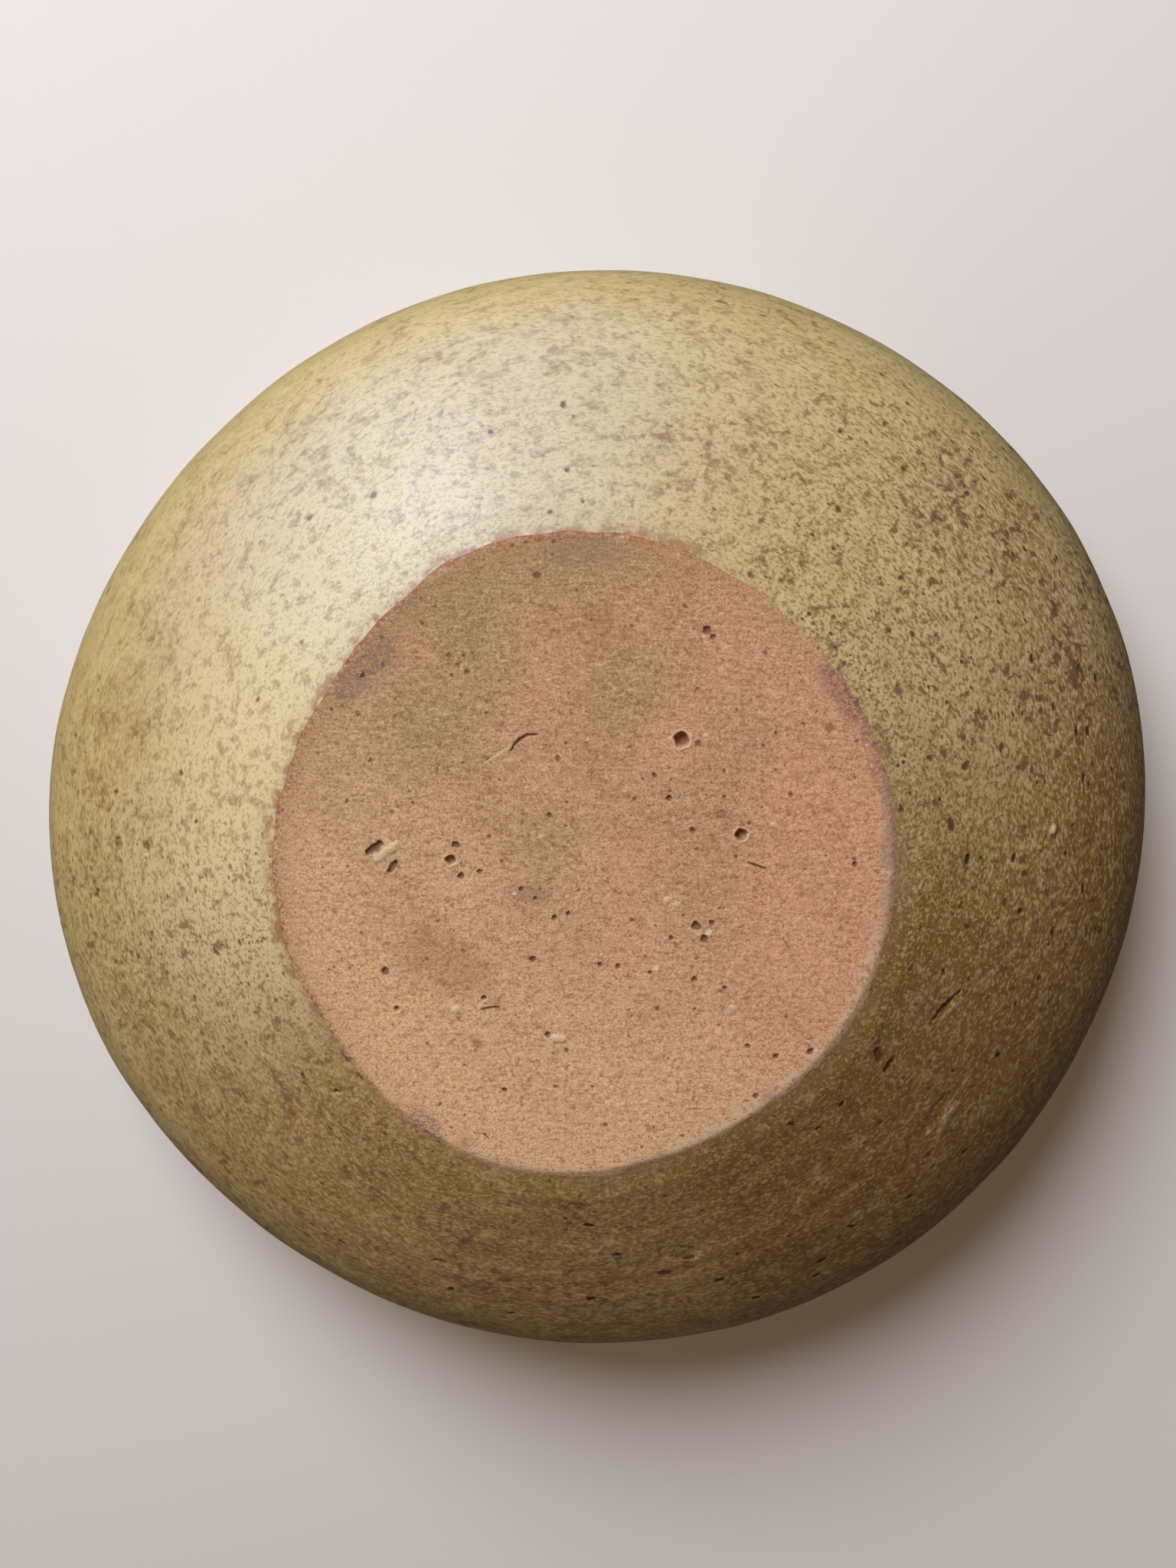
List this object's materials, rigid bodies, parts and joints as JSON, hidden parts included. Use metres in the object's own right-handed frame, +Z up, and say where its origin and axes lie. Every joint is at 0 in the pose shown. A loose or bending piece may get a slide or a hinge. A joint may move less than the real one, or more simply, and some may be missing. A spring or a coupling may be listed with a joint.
{
  "type": "fruit bowl",
  "caption": "Low round stoneware fruit bowl with a closed-in shoulder, a flat unglazed foot and a speckled ochre glaze inside and out.",
  "frame": {"origin": "centre of the flat foot, on the surface that the bowl stands on", "axes": "+Z up along the turning axis, towards the mouth; +X to the right and +Y away in the picture's view from beneath, in which +Y points down the picture"},
  "size_m": [0.2526, 0.2482, 0.076],
  "materials": {
    "bare_clay": "matte",
    "outside_glaze": "satin",
    "inside_glaze": "satin"
  },
  "bodies": {
    "root": {"clay_body": "bare_clay", "outer_glaze": "outside_glaze", "inner_glaze": "inside_glaze"}
  },
  "joints": []
}
